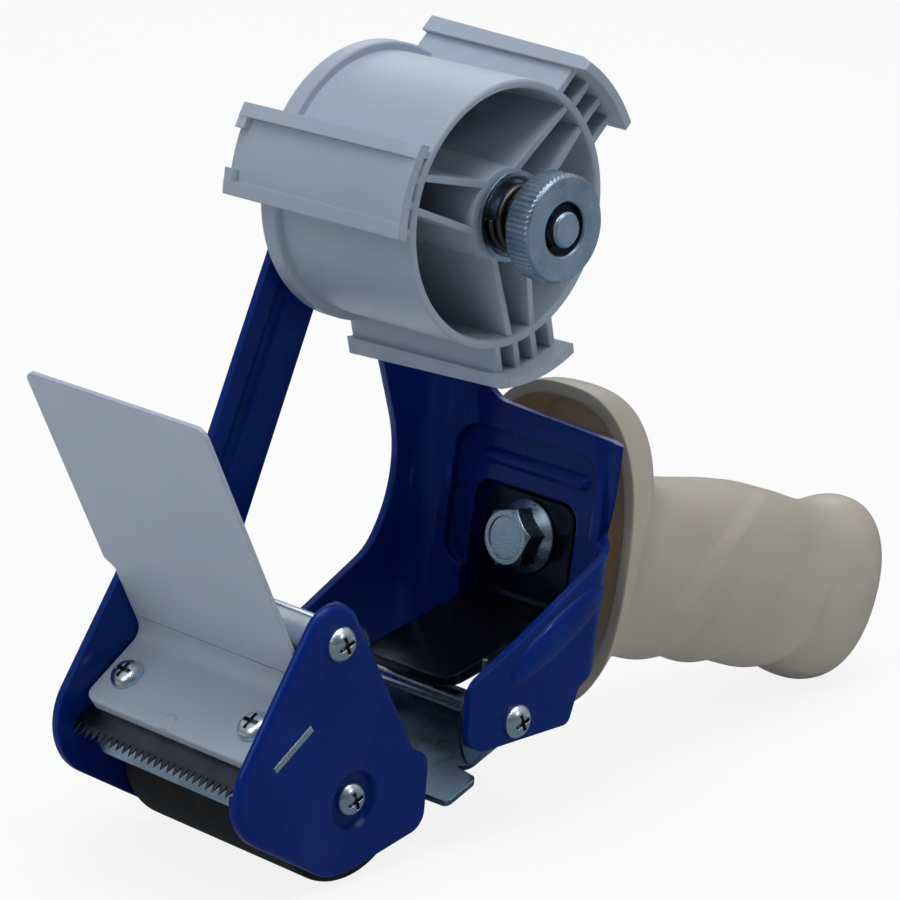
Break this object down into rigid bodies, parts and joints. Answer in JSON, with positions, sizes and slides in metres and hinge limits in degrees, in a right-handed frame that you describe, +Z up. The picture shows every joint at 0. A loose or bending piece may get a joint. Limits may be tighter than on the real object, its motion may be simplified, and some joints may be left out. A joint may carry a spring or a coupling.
{
  "type": "packing tape dispenser",
  "caption": "Hand-held packing tape dispenser with a sprung tape reel, a tension knob, a rubber roller, a toothed blade with a flexible guard, and a pistol handle.",
  "frame": {"origin": "middle of the underside of the bounding box, on the floor under the roller and the handle's end", "axes": "+X toward the roller end, +Y toward the side that the tape roll is loaded from, +Z up"},
  "size_m": [0.2542, 0.0744, 0.177],
  "materials": {
    "blue_paint": "glossy stove enamel",
    "black_paint": "satin black coat",
    "zinc_plate": "bright zinc plate",
    "blade_steel": "ground steel",
    "spring_wire": "drawn wire",
    "black_spring": "black oxide",
    "white_plastic": "satin moulding",
    "grey_plastic": "satin moulding",
    "ivory_plastic": "satin moulding",
    "black_plastic": "plain moulding",
    "dark_rubber": "ground rubber",
    "brown_fibre": "pressed fibre"
  },
  "bodies": {
    "frame": {"main_frame": "blue_paint", "front_cheek": "blue_paint", "front_spacer": "zinc_plate", "side_screws": "zinc_plate", "roller_axle": "zinc_plate", "rear_rod": "zinc_plate", "blade_carrier": "zinc_plate", "cutting_blade": "blade_steel", "guard_foot": "white_plastic", "guard_screws": "zinc_plate", "handle_bracket": "black_paint", "handle": "ivory_plastic", "handle_bolt": "zinc_plate", "handle_nut": "zinc_plate", "reel_axle": "zinc_plate", "axle_nut": "zinc_plate", "axle_washer": "zinc_plate", "friction_washer": "brown_fibre", "torsion_spring": "spring_wire", "tension_spring": "black_spring", "pressure_washer": "zinc_plate", "axle_clip": "black_spring"},
    "guard": {"guard_flap": "white_plastic"},
    "retainer": {"retaining_flap": "zinc_plate"},
    "roller": {"roller_sleeve": "dark_rubber", "roller_core": "zinc_plate", "roller_bushes": "black_plastic"},
    "reel": {"tape_reel": "grey_plastic"},
    "seat": {"spring_seat": "zinc_plate"},
    "knob": {"tension_knob": "zinc_plate"}
  },
  "joints": [
    {"name": "guard_flex", "type": "hinge", "parent": "frame", "child": "guard", "pos_m": [0.09627, -0.001, 0.05065], "axis": [0, 1, 0], "range_deg": [-15, 20], "stiffness_Nm_per_rad": 0.15},
    {"name": "flap_pivot", "type": "hinge", "parent": "frame", "child": "retainer", "pos_m": [0.03201, -0.001, 0.02704], "axis": [0, 1, 0], "range_deg": [0, 18], "stiffness_Nm_per_rad": 0.08, "springref_deg": -20.05},
    {"name": "roller_spin", "type": "hinge", "parent": "frame", "child": "roller", "pos_m": [0.08099, -0.001, 0.0194], "axis": [0, 1, 0], "continuous": true},
    {"name": "reel_spin", "type": "hinge", "parent": "frame", "child": "reel", "pos_m": [0.03311, -0.001, 0.14189], "axis": [0, 1, 0], "continuous": true},
    {"name": "seat_slide", "type": "slide", "parent": "frame", "child": "seat", "axis": [0, 1, 0], "range_m": [-0.00187, 0.0005], "deforming": ["tension_spring"]},
    {"name": "knob_turn", "type": "hinge", "parent": "seat", "child": "knob", "pos_m": [0.03311, -0.001, 0.14189], "axis": [0, 1, 0], "range_deg": [-540, 144]}
  ],
  "couplings": [
    {"joint": "seat_slide", "follows": "knob_turn", "m_per_rad": 0.00019894}
  ]
}
